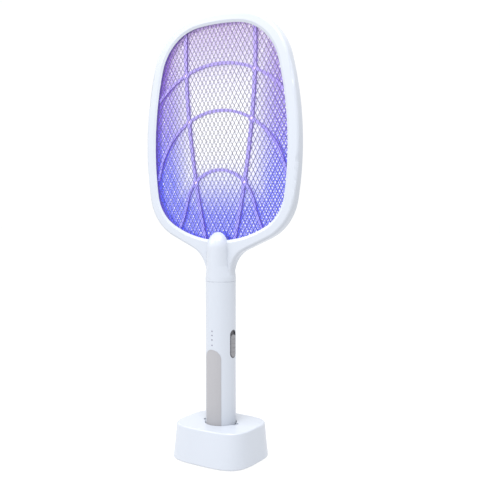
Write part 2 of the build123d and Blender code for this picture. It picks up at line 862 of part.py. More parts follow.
def make_base_inside():
    floor_top = well_floor + 2.2
    with BuildPart() as well:
        with BuildSketch(Plane.XY.offset(well_floor)):
            Circle(socket_radius + well_wall)
        extrude(amount=base_top - base_wall - skin_gap - well_floor)
        with BuildSketch(Plane.XY.offset(base_top - base_wall - skin_gap)):
            Circle(socket_radius + 5.5)
        extrude(amount=-1.6)
        with BuildSketch(Plane.XY.offset(floor_top)):
            Circle(socket_radius)
        extrude(amount=base_top, mode=Mode.SUBTRACT)
        with Locations(*[(side * contact_offset, 0, well_floor) for side in (-1, 1)]):
            Cylinder(pin_hole_radius, 8, mode=Mode.SUBTRACT)
    save(well.part, "socket_well")

    with BuildPart() as holder:
        with Locations((0, 0, holder_level)):
            Box(*holder_size, align=(Align.CENTER, Align.CENTER, Align.MIN))
        fillet(holder.edges().filter_by(Axis.Z), 1.5)
        with Locations(*[(side * contact_offset, 0, holder_level) for side in (-1, 1)]):
            Cylinder(2.1, 5.7, align=(Align.CENTER, Align.CENTER, Align.MIN), mode=Mode.SUBTRACT)
            Cylinder(pin_hole_radius, 20, mode=Mode.SUBTRACT)
    save(holder.part, "pin_holder")

    for side, name in ((-1, "left"), (1, "right")):
        make_charging_pin(side * contact_offset, name)

    with BuildPart() as board:
        with Locations((0, 14.0, board_level)):
            Box(30, 50, 1.2, align=(Align.CENTER, Align.CENTER, Align.MIN))
    save(board.part, "base_board")

    with BuildPart() as port:
        with BuildSketch(Plane.XZ.offset(-41.0)):
            with Locations((0, port_height)):
                SlotOverall(port_width - 0.5, port_thickness - 0.5)
        extrude(amount=8.0)
        with BuildSketch(Plane.XZ.offset(-41.0)):
            with Locations((0, port_height)):
                SlotOverall(port_width - 1.1, port_thickness - 1.1)
        extrude(amount=7.0, mode=Mode.SUBTRACT)
        with Locations((0, 37.2, port_height)):
            Box(6.4, 6.4, 0.7)
    save(port.part, "charge_port")

    with BuildPart() as ballast:
        with Locations(*[(side * 31.5, 0, plate_top + skin_gap) for side in (-1, 1)]):
            Box(16, 36, 10, align=(Align.CENTER, Align.CENTER, Align.MIN))
        chamfer(ballast.edges().filter_by(Axis.Z), 2.0)
    save(ballast.part, "ballast_weights")


def make_charging_pin(x, side_name):
    """A sprung contact pin and the coil under its collar."""
    collar_top = 11.5
    with BuildPart() as pin:
        with Locations((x, 0, collar_top - 1.3)):
            Cylinder(1.8, 1.3, align=(Align.CENTER, Align.CENTER, Align.MIN))
        with Locations((x, 0, collar_top)):
            Cylinder(1.2, pin_tip - collar_top, align=(Align.CENTER, Align.CENTER, Align.MIN))
        fillet(pin.edges().group_by(Axis.Z)[-1], 0.9)
    save(pin.part, f"{side_name}_charging_pin")

    coil_wire = 0.22
    coil_height = 3.5
    with BuildPart() as spring:
        with BuildLine(Plane.XY.offset(6.2)) as path:
            Helix(pitch=0.9, height=coil_height, radius=1.45, center=(x, 0, 0))
        with BuildSketch(Plane(path.line @ 0, z_dir=path.line % 0)):
            Circle(coil_wire)
        sweep(path=path.line, is_frenet=True)
    save(spring.part, f"{side_name}_pin_spring")


make_head()
make_lamps()
make_handle()
make_leads()
make_base_shell()
make_base_plate()
make_base_inside()
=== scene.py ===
"""Looks of the electric fly swatter: finishes for its moulded and metal pieces, its expanded-metal
meshes and grid, and the stage that shows it. Lengths are in metres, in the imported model's frame:
+Z up, the racket's front towards -Y, its slide switch on the +X side.
"""

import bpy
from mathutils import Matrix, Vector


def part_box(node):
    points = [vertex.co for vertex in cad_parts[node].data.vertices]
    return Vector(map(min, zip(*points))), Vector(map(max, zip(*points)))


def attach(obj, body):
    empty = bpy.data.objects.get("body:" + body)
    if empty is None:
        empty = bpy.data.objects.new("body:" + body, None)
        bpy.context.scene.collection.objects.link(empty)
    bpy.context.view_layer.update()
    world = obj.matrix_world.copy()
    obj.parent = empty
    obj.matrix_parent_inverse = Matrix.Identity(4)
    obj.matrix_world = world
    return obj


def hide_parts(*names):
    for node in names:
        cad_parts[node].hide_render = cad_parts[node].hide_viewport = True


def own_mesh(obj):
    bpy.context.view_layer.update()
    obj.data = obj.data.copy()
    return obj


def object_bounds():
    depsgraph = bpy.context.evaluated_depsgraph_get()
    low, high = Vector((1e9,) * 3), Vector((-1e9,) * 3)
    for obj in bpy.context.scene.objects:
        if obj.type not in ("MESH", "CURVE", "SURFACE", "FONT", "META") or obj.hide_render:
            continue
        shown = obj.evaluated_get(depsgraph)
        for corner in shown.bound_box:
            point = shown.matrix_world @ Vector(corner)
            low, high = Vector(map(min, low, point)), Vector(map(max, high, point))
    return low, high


bl_info = {
    "name": "Electric Fly Swatter",
    "version": (1, 0, 0),
    "blender": (4, 5, 0),
    "location": "View3D > Sidebar > Swatter",
    "description": "Finishes, expanded-metal meshes and a stage for an electric fly swatter",
    "category": "Object",
}

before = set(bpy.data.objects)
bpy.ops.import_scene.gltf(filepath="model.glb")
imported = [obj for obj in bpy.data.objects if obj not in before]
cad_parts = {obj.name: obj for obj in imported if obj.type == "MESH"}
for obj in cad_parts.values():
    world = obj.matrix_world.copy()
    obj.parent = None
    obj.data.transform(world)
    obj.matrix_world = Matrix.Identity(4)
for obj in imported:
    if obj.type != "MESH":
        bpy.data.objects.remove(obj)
cad_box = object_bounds()

import math

import bmesh
import bpy
from mathutils import Vector

# The height of the pale band on the cell
BAND_HEIGHT = 0.0085

# Half the width of the floor, and how far it lies below the feet
FLOOR_HALF = 6.0
FLOOR_GAP = 0.0002

# Each light's place and width, and what both lights point at
KEY_PLACE, KEY_WIDTH = (-1.3, -1.2, 1.3), 0.9
TOP_PLACE, TOP_WIDTH = (0.3, -0.7, 1.9), 0.9
LIT_POINT = Vector((0.0, 0.0, 0.25))

# The field of the head where the lamps' glow is painted on, read from the front mesh's place in the
# frame
MESH_LOW, MESH_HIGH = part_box("front_mesh")
FIELD_CENTRE = (MESH_LOW + MESH_HIGH) / 2
FIELD_HALF = (MESH_HIGH - MESH_LOW) / 2

# How strongly the lamps' painted glow (emission, not real light) covers the field's middle, its
# top, and its lower corners on top of the rest
LEAST_GLOW = 0.04
TOP_GLOW = 0.75
CORNER_GLOW = 0.35

# A knot of expanded metal: its bond's half height as a share of a leg's height, the half width of
# its waist as a share of the strand, and how near its middle the waist may come
BOND_SHARE = 0.10
WAIST_SHARE = 0.62
WAIST_LOWEST = 0.05


# --- User-changeable sizes and colours --------------------------------------------------------

class SwatterSizes(bpy.types.PropertyGroup):
    """Sizes of the expanded-metal sheets."""

    mesh_pitch: bpy.props.FloatVectorProperty(
        name="Mesh pitch", description="Width and height of one diamond in the outer meshes",
        size=2, default=(0.0057, 0.0098), unit="LENGTH", precision=5)
    mesh_strand: bpy.props.FloatProperty(
        name="Front strand", description="Width of a strand in the front mesh",
        default=0.00056, min=0.0002, max=0.003, unit="LENGTH", precision=5)
    rear_strand: bpy.props.FloatProperty(
        name="Rear strand", description="Width of a strand in the rear mesh",
        default=0.00060, min=0.0002, max=0.003, unit="LENGTH", precision=5)
    grid_pitch: bpy.props.FloatVectorProperty(
        name="Grid pitch", description="Width and height of one diamond in the live grid",
        size=2, default=(0.0038, 0.006533), unit="LENGTH", precision=5)
    grid_strand: bpy.props.FloatProperty(
        name="Grid strand", description="Width of a strand in the live grid",
        default=0.00165, min=0.0002, max=0.003, unit="LENGTH", precision=5)
    sheet_thickness: bpy.props.FloatProperty(
        name="Sheet thickness", description="Thickness of the metal of all three sheets",
        default=0.0003, min=0.0001, max=0.001, unit="LENGTH", precision=5)
    strand_tilt: bpy.props.FloatProperty(
        name="Strand tilt", description="How far a knot's two ends stand out of the sheet",
        default=0.00007, min=0.0, max=0.0005, unit="LENGTH", precision=5)


class SwatterColours(bpy.types.PropertyGroup):
    """Colours of the moulded pieces and of the lamps' glow painted on in the head."""

    shell: bpy.props.FloatVectorProperty(
        name="Shell", description="Satin white plastic of the racket and the base",
        subtype="COLOR", default=(0.455, 0.485, 0.54), min=0.0, max=1.0)
    grip: bpy.props.FloatVectorProperty(
        name="Grip", description="Soft inlay in the handle",
        subtype="COLOR", default=(0.305, 0.303, 0.32), min=0.0, max=1.0)
    switch: bpy.props.FloatVectorProperty(
        name="Switch", description="Ridged knob of the slide switch",
        subtype="COLOR", default=(0.22, 0.22, 0.235), min=0.0, max=1.0)
    bezel: bpy.props.FloatVectorProperty(
        name="Bezel", description="Rim round the slide switch",
        subtype="COLOR", default=(0.075, 0.073, 0.085), min=0.0, max=1.0)
    # Painted light: the colours of the lamps' glow, painted on the strands and webs as emission
    glow_low: bpy.props.FloatVectorProperty(
        name="Low glow", description="Light on the metal next to the lamps",
        subtype="COLOR", default=(0.03, 0.05, 0.92), min=0.0, max=1.0)
    glow_high: bpy.props.FloatVectorProperty(
        name="High glow", description="Light on the metal at the top of the head",
        subtype="COLOR", default=(0.27, 0.11, 0.50), min=0.0, max=1.0)


class SwatterStage(bpy.types.PropertyGroup):
    """Where the camera stands, and how strong the studio light is."""

    azimuth: bpy.props.FloatProperty(
        name="Azimuth", description="Camera's angle round the object from its front",
        default=math.radians(35.0), subtype="ANGLE")
    distance: bpy.props.FloatProperty(
        name="Distance", description="Camera's distance from the handle's axis",
        default=0.8692, unit="LENGTH")
    height: bpy.props.FloatProperty(
        name="Height", description="Camera's height above the floor",
        default=0.3006, unit="LENGTH")
    lens: bpy.props.FloatProperty(
        name="Lens", description="Focal length", default=53.49, unit="CAMERA")
    pan: bpy.props.FloatProperty(
        name="Pan", description="How far the camera looks to the right of the axis",
        default=math.radians(2.264), subtype="ANGLE")
    tilt: bpy.props.FloatProperty(
        name="Tilt", description="How far the camera looks down",
        default=math.radians(1.841), subtype="ANGLE")
    lift: bpy.props.FloatProperty(
        name="Lens shift", description="Upright lens shift that keeps upright edges parallel",
        default=-0.05)
    key: bpy.props.FloatProperty(
        name="Key light", description="Power of the large front light", default=13.0, unit="POWER")
    top: bpy.props.FloatProperty(
        name="Top light", description="Power of the soft light overhead", default=40.0,
        unit="POWER")
    surround: bpy.props.FloatProperty(
        name="Surround", description="Brightness of the white surroundings", default=1.02)


# --- Node trees -------------------------------------------------------------------------------

class Wire:
    """One output socket, used in sums as if it were a number."""

    def __init__(self, tree, socket):
        self.tree = tree
        self.socket = socket

    def output(self, name):
        """Another output of the same node."""
        return Wire(self.tree, self.socket.node.outputs[name])

    def output_at(self, index):
        """Another output of the same node, by its place in the list."""
        return Wire(self.tree, self.socket.node.outputs[index])

    def math(self, operation, first, second=0.0):
        return self.tree.node("ShaderNodeMath", {"operation": operation}, {0: first, 1: second})

    def __add__(self, other):
        return self.math("ADD", self, other)

    def __radd__(self, other):
        return self.math("ADD", other, self)

    def __sub__(self, other):
        return self.math("SUBTRACT", self, other)

    def __rsub__(self, other):
        return self.math("SUBTRACT", other, self)

    def __mul__(self, other):
        return self.math("MULTIPLY", self, other)

    def __rmul__(self, other):
        return self.math("MULTIPLY", other, self)

    def __truediv__(self, other):
        return self.math("DIVIDE", self, other)

    def __abs__(self):
        return self.math("ABSOLUTE", self)

    def larger(self, other):
        return self.math("MAXIMUM", self, other)

    def smaller(self, other):
        return self.math("MINIMUM", self, other)


class Tree:
    """Adds nodes to a node group: each node's settings first, then its sockets."""

    def __init__(self, group):
        self.group = group

    def node(self, kind, settings=None, sockets=None):
        """A new node's first output. Its sockets are given as values or as wires."""
        new = self.group.nodes.new(kind)
        for name, value in (settings or {}).items():
            if name == "stops":
                self.set_stops(new.color_ramp, value)
            else:
                setattr(new, name, value)
        for name, value in (sockets or {}).items():
            if isinstance(value, Wire):
                self.group.links.new(value.socket, new.inputs[name])
            else:
                new.inputs[name].default_value = value
        return Wire(self, new.outputs[0]) if len(new.outputs) else None

    @staticmethod
    def set_stops(ramp, stops):
        """Stops are (position, (r, g, b)) from low to high."""
        while len(ramp.elements) < len(stops):
            ramp.elements.new(1.0)
        for element, (position, colour) in zip(ramp.elements, stops):
            element.position = position
            element.color = (*colour, 1.0)


SOCKETS = {"ior": "IOR", "specular": "Specular IOR Level"}


class Finish(Tree):
    """A material with one Principled shader, in the piece's own object coordinates."""

    def __init__(self, name):
        self.material = bpy.data.materials.new(name)
        self.material.use_nodes = True
        super().__init__(self.material.node_tree)
        self.group.nodes.clear()
        self.place = self.node("ShaderNodeTexCoord").output("Object")

    def along(self, axis):
        """The X, Y or Z of the place on the piece."""
        return self.node("ShaderNodeSeparateXYZ", None, {0: self.place}).output(axis)

    def facing(self, axis):
        """The X, Y or Z of the surface's own direction."""
        normal = self.node("ShaderNodeTexCoord").output("Normal")
        return self.node("ShaderNodeSeparateXYZ", None, {0: normal}).output(axis)

    def noise(self, size, detail=2.0, stretch=(1.0, 1.0, 1.0), roughness=0.5):
        """Noise from 0 to 1 whose blobs are about this many metres across, stretched by axis."""
        place = self.node("ShaderNodeMapping", {"vector_type": "POINT"},
                          {"Vector": self.place, "Scale": [1.0 / s for s in stretch]})
        return self.node("ShaderNodeTexNoise", None,
                         {"Vector": place, "Scale": 1.0 / size, "Detail": detail,
                          "Roughness": roughness})

    def step(self, value, low, high):
        """0 below low, 1 above high, and smooth between them. Low may be above high."""
        return self.node("ShaderNodeMapRange", {"interpolation_type": "SMOOTHSTEP"},
                         {"Value": value, "From Min": low, "From Max": high})

    def mix(self, factor, first, second):
        """From the first colour to the second as the factor goes from 0 to 1."""
        colours = [c if isinstance(c, Wire) else (*c, 1.0) for c in (first, second)]
        return self.node("ShaderNodeMix", {"data_type": "RGBA"},
                         {0: factor, 6: colours[0], 7: colours[1]}).output_at(2)

    def ramp(self, value, stops):
        """A colour along a ramp as the value goes from 0 to 1."""
        return self.node("ShaderNodeValToRGB", {"stops": stops}, {0: value})

    def bump(self, height, depth):
        """A bump whose full height stands this many metres above its foot."""
        return self.node("ShaderNodeBump", None,
                         {"Height": height, "Distance": depth, "Strength": 1.0})

    def surface(self, **sockets):
        """Ends the material with a Principled shader; names are its sockets', with underscores."""
        values = {}
        for name, value in sockets.items():
            title = SOCKETS.get(name, name.replace("_", " ").title())
            values[title] = (*value, 1.0) if isinstance(value, (tuple, list)) else value
        shader = self.node("ShaderNodeBsdfPrincipled", None, values)
        self.node("ShaderNodeOutputMaterial", None, {"Surface": shader})
        return self.material


# --- Finishes ---------------------------------------------------------------------------------

def moulded_plastic(name, colour, gloss=0.32, grain=0.0004, depth=0.000012, coat=0.12):
    """Injection-moulded plastic: a fine pearly grain, faint flow marks and handling haze."""
    finish = Finish(name)
    flow = finish.noise(0.045, 3.0, (1.0, 1.0, 3.0))
    haze = finish.noise(0.012, 4.0)
    texture = finish.noise(grain, 2.0)
    darker = tuple(c * 0.955 for c in colour)
    return finish.surface(
        base_color=finish.mix(flow, darker, colour),
        roughness=gloss - 0.05 + 0.10 * haze,
        coat_weight=coat,
        coat_roughness=0.12,
        ior=1.46,
        normal=finish.bump(texture, depth),
    )


def soft_touch(name, colour):
    """Soft inlay with fine lengthwise drawing lines and a slightly worn, shinier middle."""
    finish = Finish(name)
    lines = finish.noise(0.0006, 3.0, (1.0, 1.0, 40.0))
    specks = finish.noise(0.0005, 2.0)
    worn = finish.noise(0.030, 3.0)
    lighter = tuple(min(1.0, c * 1.10) for c in colour)
    return finish.surface(
        base_color=finish.mix(lines * 0.6 + worn * 0.4, colour, lighter),
        roughness=0.50 - 0.14 * worn,
        ior=1.48,
        normal=finish.bump(lines * 0.5 + specks * 0.5, 0.00003),
    )


def glow_amount(finish):
    """(height in the lit field from -1 to 1, how much painted lamp glow that place gets)."""
    across = abs(finish.along("X") / FIELD_HALF.x)
    up = (finish.along("Z") - FIELD_CENTRE.z) / FIELD_HALF.z
    side = finish.step(across, 0.28, 0.86)
    low = finish.step(up, -0.15, -0.85)
    high = finish.step(up, 0.15, 1.0)
    # Painted light: more glow towards the sides, the bottom and the top, strongest in the lower
    # corners
    amount = LEAST_GLOW + side.larger(low).larger(high * TOP_GLOW) + CORNER_GLOW * low * side
    return up, amount.smaller(1.0)


def painted_lamp_glow(finish, colours, centre_glow):
    """The lamps' light on a surface in the head, painted on as an emission colour, pale in the
    middle of the field.
    """
    up, amount = glow_amount(finish)
    low, high = tuple(colours.glow_low), tuple(colours.glow_high)
    middle = tuple((a + b) / 2 for a, b in zip(low, high))
    # Painted light: blue glow low in the field, turning violet towards the top
    edge = finish.ramp((up + 1.0) / 2.0, [(0.0, low), (0.30, low), (0.55, middle), (0.95, high)])
    return finish.mix(amount, centre_glow, edge)


def expanded_metal(name, colours, metal, centre_glow, strength):
    """Dull drawn metal strands, with the lamps' light painted on them as emission."""
    finish = Finish(name)
    stain = finish.noise(0.004, 3.0)
    drawn = finish.noise(0.0003, 2.0, (1.0, 1.0, 4.0))
    darker = tuple(c * 0.6 for c in metal)
    return finish.surface(
        base_color=finish.mix(stain, darker, metal),
        metallic=0.65,
        roughness=0.32 + 0.2 * stain,
        # Painted light: this emission is the lamps' glow painted on the strands
        emission_color=painted_lamp_glow(finish, colours, centre_glow),
        emission_strength=strength,
        normal=finish.bump(drawn, 0.00002),
    )


def lit_web(name, colours):
    """Glossy web plastic, violet where it faces out, with the lamps' glow painted on as emission,
    painted shade on its side walls and painted shade (no glow) at the top.
    """
    finish = Finish(name)
    # Painted shade: a mask of the side walls, which get a darker colour and a darker glow
    shaded_wall = finish.step(abs(finish.facing("Y")), 0.75, 0.25)
    cloud = finish.noise(0.006, 2.0)
    painted_glow = painted_lamp_glow(finish, colours, (0.20, 0.14, 0.66))
    # Painted shade: the glow fades to black near the top of the field
    unlit = finish.step(finish.along("Z"), FIELD_CENTRE.z + 0.80 * FIELD_HALF.z,
                        FIELD_CENTRE.z + 0.95 * FIELD_HALF.z)
    side = finish.mix(unlit, (0.10, 0.05, 0.34), (0.004, 0.003, 0.012))
    shade = finish.mix(shaded_wall * 0.85, painted_glow, side)
    return finish.surface(
        # Painted shade: the side walls get a darker base colour
        base_color=finish.mix(shaded_wall, (0.34, 0.30, 0.62), (0.08, 0.05, 0.20)),
        roughness=0.25 + 0.12 * cloud,
        emission_color=shade,
        emission_strength=0.55,
        normal=finish.bump(cloud, 0.00003),
    )


def clear_lens(name, colour, strength):
    """Tinted clear plastic that glows: the lamps' own light, and on the web pins the lamps' glow
    painted on.
    """
    finish = Finish(name)
    swirl = finish.noise(0.003, 2.0)
    deeper = tuple(c * 0.7 for c in colour)
    tinted = finish.mix(swirl, deeper, colour)
    return finish.surface(
        base_color=tinted,
        roughness=0.08 + 0.06 * swirl,
        coat_weight=0.6,
        emission_color=tinted,
        emission_strength=strength,
    )


def plated_metal(name, colour, roughness=0.28):
    """Plated metal with fine turning marks and slight tarnish."""
    finish = Finish(name)
    tarnish = finish.noise(0.003, 3.0)
    turning = finish.noise(0.0002, 2.0, (1.0, 1.0, 0.3))
    darker = tuple(c * 0.72 for c in colour)
    return finish.surface(
        base_color=finish.mix(tarnish, darker, colour),
        metallic=1.0,
        roughness=roughness - 0.05 + 0.15 * tarnish,
        normal=finish.bump(turning, 0.000015),
    )


def rough_casting(name, colour):
    """Sand-cast metal with a coarse skin and rust-brown stains."""
    finish = Finish(name)
    skin = finish.noise(0.0012, 5.0, roughness=0.65)
    stain = finish.noise(0.010, 3.0)
    return finish.surface(
        base_color=finish.mix(finish.step(stain, 0.45, 0.7), colour, (0.16, 0.09, 0.06)),
        metallic=0.5,
        roughness=0.6 + 0.25 * skin,
        normal=finish.bump(skin, 0.0002),
    )


def foot_rubber(name):
    """Soft grey rubber with bloom and fine pitting."""
    finish = Finish(name)
    bloom = finish.noise(0.004, 4.0)
    pits = finish.noise(0.0005, 2.0)
    return finish.surface(
        base_color=finish.mix(bloom, (0.10, 0.10, 0.11), (0.19, 0.19, 0.20)),
        roughness=0.75 + 0.15 * bloom,
        normal=finish.bump(pits, 0.00006),
    )


def circuit_board(name):
    """Green solder mask over fine copper tracks, with tinned spots."""
    finish = Finish(name)
    track = finish.node("ShaderNodeTexBrick", {"offset": 0.5},
                        {"Vector": finish.place, "Scale": 260.0, "Mortar Size": 0.16})
    lines = track.output("Fac")
    spots = finish.step(finish.noise(0.0016, 0.0), 0.66, 0.70)
    green = finish.mix(lines, (0.015, 0.16, 0.055), (0.03, 0.26, 0.09))
    return finish.surface(
        base_color=finish.mix(spots, green, (0.62, 0.60, 0.56)),
        metallic=spots * 0.9,
        roughness=0.35 - 0.1 * spots,
        coat_weight=0.4,
        normal=finish.bump(lines + spots, 0.00004),
    )


def shrink_wrap(name, colour, band):
    """Shrink-wrapped cell: glossy film with tight wrinkles and a paler band near its top."""
    finish = Finish(name)
    wrinkle = finish.noise(0.004, 3.0, (1.0, 1.0, 0.4))
    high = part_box("battery_cell")[1]
    near_top = finish.step(finish.along("Z"), high.z - BAND_HEIGHT, high.z - BAND_HEIGHT + 0.0005)
    return finish.surface(
        base_color=finish.mix(near_top, colour, band),
        roughness=0.22 + 0.1 * wrinkle,
        coat_weight=0.5,
        normal=finish.bump(wrinkle, 0.00008),
    )


def insulated_wire(name, colour):
    """Wire insulation with a waxy sheen."""
    finish = Finish(name)
    wax = finish.noise(0.002, 3.0)
    darker = tuple(c * 0.7 for c in colour)
    return finish.surface(
        base_color=finish.mix(wax, darker, colour),
        roughness=0.38 + 0.15 * wax,
        normal=finish.bump(wax, 0.00002),
    )


def paint(material, *nodes):
    """Gives CAD nodes a material in each of their slots."""
    for name in nodes:
        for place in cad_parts[name].material_slots:
            place.material = material


# --- Expanded metal ---------------------------------------------------------------------------

def knot_object(name, pitch, strand, thickness, tilt):
    """One knot of expanded metal: an upright bond with four legs that reach halfway to the next."""
    leg_x, leg_z = pitch[0] / 4, pitch[1] / 4
    bond_half = BOND_SHARE * leg_z
    rise = leg_z - bond_half
    half_across = strand / 2 * math.hypot(leg_x, rise) / rise
    side_x = strand * WAIST_SHARE
    crotch_z = leg_z - (leg_x - half_across) * rise / leg_x
    side_z = max(WAIST_LOWEST * leg_z, leg_z - (leg_x + half_across - side_x) * rise / leg_x)
    quarter = [(side_x, side_z, 1), (leg_x + half_across, leg_z, 0),
               (leg_x - half_across, leg_z, 0)]
    upper = quarter + [(0.0, crotch_z, 1)] + [(-x, z, lift) for x, z, lift in reversed(quarter)]
    outline = upper + [(-x, -z, -lift) for x, z, lift in upper]

    shape = bmesh.new()
    faces = []
    for side in (-1, 1):
        ring = [shape.verts.new((x, side * thickness / 2 + tilt * lift, z))
                for x, z, lift in outline]
        faces.append(ring if side < 0 else list(reversed(ring)))
    front, back = faces[0], list(reversed(faces[1]))
    shape.faces.new(faces[0])
    shape.faces.new(faces[1])
    for index in range(len(outline)):
        after = (index + 1) % len(outline)
        shape.faces.new((front[after], front[index], back[index], back[after]))
    bmesh.ops.recalc_face_normals(shape, faces=shape.faces)
    mesh = bpy.data.meshes.new(name)
    shape.to_mesh(mesh)
    shape.free()
    return bpy.data.objects.new(name, mesh)


def expanded_metal_tree():
    """Geometry nodes that lay knots in staggered rows over a plate and trim them at its edge."""
    group = bpy.data.node_groups.new("Expanded metal", "GeometryNodeTree")
    for name, kind in (("Plate", "Object"), ("Knot", "Object"), ("Centre", "Vector"),
                       ("Pitch X", "Float"), ("Pitch Z", "Float"), ("Columns", "Int"),
                       ("Rows", "Int"), ("Overhang", "Float"), ("Metal", "Material")):
        group.interface.new_socket(name, in_out="INPUT", socket_type=f"NodeSocket{kind}")
    group.interface.new_socket("Geometry", in_out="OUTPUT", socket_type="NodeSocketGeometry")
    tree = Tree(group)
    inputs = tree.node("NodeGroupInput")
    wide, tall = inputs.output("Pitch X"), inputs.output("Pitch Z")
    columns, rows = inputs.output("Columns"), inputs.output("Rows")

    plate = tree.node("GeometryNodeObjectInfo", None, {"Object": inputs.output("Plate")})
    plate = plate.output("Geometry")
    lattices = []
    for share in (0.0, 0.5):
        lattice = tree.node("GeometryNodeMeshGrid", None,
                            {"Size X": wide * columns, "Size Y": tall * rows,
                             "Vertices X": columns + 1.0, "Vertices Y": rows + 1.0})
        nudge = tree.node("ShaderNodeCombineXYZ", None, {"X": wide * share, "Z": tall * share})
        place = tree.node("ShaderNodeVectorMath", {"operation": "ADD"},
                          {0: inputs.output("Centre"), 1: nudge})
        lattices.append(tree.node("GeometryNodeTransform", None,
                                  {"Geometry": lattice, "Translation": place,
                                   "Rotation": (math.radians(90), 0.0, 0.0)}))
    points = tree.node("GeometryNodeJoinGeometry", None, {0: lattices[0]})
    tree.group.links.new(lattices[1].socket, points.socket.node.inputs[0])

    reach = tree.node("GeometryNodeProximity", {"target_element": "FACES"}, {0: plate})
    far = tree.node("FunctionNodeCompare", {"data_type": "FLOAT", "operation": "GREATER_THAN"},
                    {0: reach.output("Distance"), 1: inputs.output("Overhang")})
    kept = tree.node("GeometryNodeDeleteGeometry", {"domain": "POINT"},
                     {"Geometry": points, "Selection": far})
    knot = tree.node("GeometryNodeObjectInfo", None,
                     {"Object": inputs.output("Knot"), "As Instance": True}).output("Geometry")
    laid = tree.node("GeometryNodeInstanceOnPoints", None, {"Points": kept, "Instance": knot})
    solid = tree.node("GeometryNodeRealizeInstances", None, {"Geometry": laid})

    place = tree.node("GeometryNodeInputPosition")
    own = tree.node("ShaderNodeSeparateXYZ", None, {0: place})
    nearest = tree.node("GeometryNodeProximity", {"target_element": "FACES"}, {0: plate})
    edge = tree.node("ShaderNodeSeparateXYZ", None, {0: nearest})
    trimmed = tree.node("ShaderNodeCombineXYZ", None,
                        {"X": edge, "Y": own.output("Y"), "Z": edge.output("Z")})
    cut = tree.node("GeometryNodeSetPosition", None, {"Geometry": solid, "Position": trimmed})
    done = tree.node("GeometryNodeSetMaterial", None,
                     {"Geometry": cut, "Material": inputs.output("Metal")})
    tree.node("NodeGroupOutput", None, {"Geometry": done})
    return group


def made_with_nodes(name, group, values):
    """A plain mesh object made by a geometry node group with these input values."""
    mesh = bpy.data.meshes.new(name)
    piece = bpy.data.objects.new(name, mesh)
    bpy.context.scene.collection.objects.link(piece)
    modifier = piece.modifiers.new("Made", "NODES")
    modifier.node_group = group
    for socket in group.interface.items_tree:
        if socket.in_out == "INPUT" and socket.name in values:
            modifier[socket.identifier] = values[socket.name]
    bpy.context.view_layer.update()
    seen = piece.evaluated_get(bpy.context.evaluated_depsgraph_get())
    piece.data = bpy.data.meshes.new_from_object(seen)
    piece.modifiers.clear()
    if not piece.data.polygons:
        raise RuntimeError(f"{name} came out empty")
    return piece


def expanded_sheet(name, node, pitch, strand, sizes, metal):
    """An expanded-metal sheet in the place of a CAD plate."""
    low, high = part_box(node)
    knot = knot_object(f"{name}_knot", pitch, strand, sizes.sheet_thickness, sizes.strand_tilt)
    bpy.context.scene.collection.objects.link(knot)
    group = bpy.data.node_groups.get("Expanded metal") or expanded_metal_tree()
    piece = made_with_nodes(name, group, {
        "Plate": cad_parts[node],
        "Knot": knot,
        "Centre": (low + high) / 2,
        "Pitch X": pitch[0],
        "Pitch Z": pitch[1],
        "Columns": 2 * math.ceil((high.x - low.x) / pitch[0] / 2) + 2,
        "Rows": 2 * math.ceil((high.z - low.z) / pitch[1] / 2) + 2,
        "Overhang": pitch[0] / 4,
        "Metal": metal,
    })
    bpy.data.objects.remove(knot)
    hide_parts(node)
    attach(piece, "racket")
    return piece


# --- Operators --------------------------------------------------------------------------------

class SWATTER_OT_shells(bpy.types.Operator):
    """Give the racket's and the base's white mouldings their satin plastic"""

    bl_idname = "swatter.shells"
    bl_label = "White shells"

    def execute(self, context):
        colours = context.scene.swatter_colours
        shell = moulded_plastic("satin_white", tuple(colours.shell))
        paint(shell, "front_frame", "rear_frame", "handle_sleeve", "end_cap", "base_shell")
        inner = moulded_plastic("plain_white", (0.52, 0.54, 0.58), gloss=0.45, coat=0.0)
        paint(inner, "socket_well", "base_plate", "pin_holder", "handle_chassis")
        return {"FINISHED"}


class SWATTER_OT_meshes(bpy.types.Operator):
    """Lay the front and rear protective meshes of expanded metal"""

    bl_idname = "swatter.meshes"
    bl_label = "Outer meshes"

    def execute(self, context):
        sizes, colours = context.scene.swatter_sizes, context.scene.swatter_colours
        # Painted light: the second colour and the strength paint the lamps' glow on the strands as
        # emission, faint on the front mesh, brighter grey on the rear mesh
        front = expanded_metal("front_mesh_metal", colours, (0.10, 0.10, 0.13),
                               (0.05, 0.05, 0.08), 0.25)
        rear = expanded_metal("rear_mesh_metal", colours, (0.14, 0.14, 0.17),
                              (0.22, 0.22, 0.27), 0.85)
        for side, metal, strand in (("front", front, sizes.mesh_strand),
                                    ("rear", rear, sizes.rear_strand)):
            expanded_sheet(f"{side}_mesh_strands", f"{side}_mesh", sizes.mesh_pitch,
                           strand, sizes, metal)
        return {"FINISHED"}


class SWATTER_OT_grid(bpy.types.Operator):
    """Lay the finer live grid between the meshes"""

    bl_idname = "swatter.grid"
    bl_label = "Live grid"

    def execute(self, context):
        sizes, colours = context.scene.swatter_sizes, context.scene.swatter_colours
        # Painted light: the white second colour and the strength paint a white glow on the grid's
        # strands in the middle of the field
        metal = expanded_metal("live_grid_metal", colours, (0.30, 0.30, 0.34),
                               (1.0, 1.0, 1.0), 0.92)
        expanded_sheet("high_voltage_grid_strands", "high_voltage_grid", sizes.grid_pitch,
                       sizes.grid_strand, sizes, metal)
        return {"FINISHED"}


class SWATTER_OT_web(bpy.types.Operator):
    """Finish the two support webs and the pins that join them, with the lamps' glow painted on both
    and painted shade on the webs
    """

    bl_idname = "swatter.web"
    bl_label = "Support webs and pins"

    def execute(self, context):
        colours = context.scene.swatter_colours
        paint(lit_web("lit_web", colours), "front_web", "rear_web")
        # Painted light: the pins are no lamps; their emission paints the lamps' glow on them
        paint(clear_lens("pin_plastic", (0.80, 0.62, 1.0), 0.9), "web_pins")
        return {"FINISHED"}


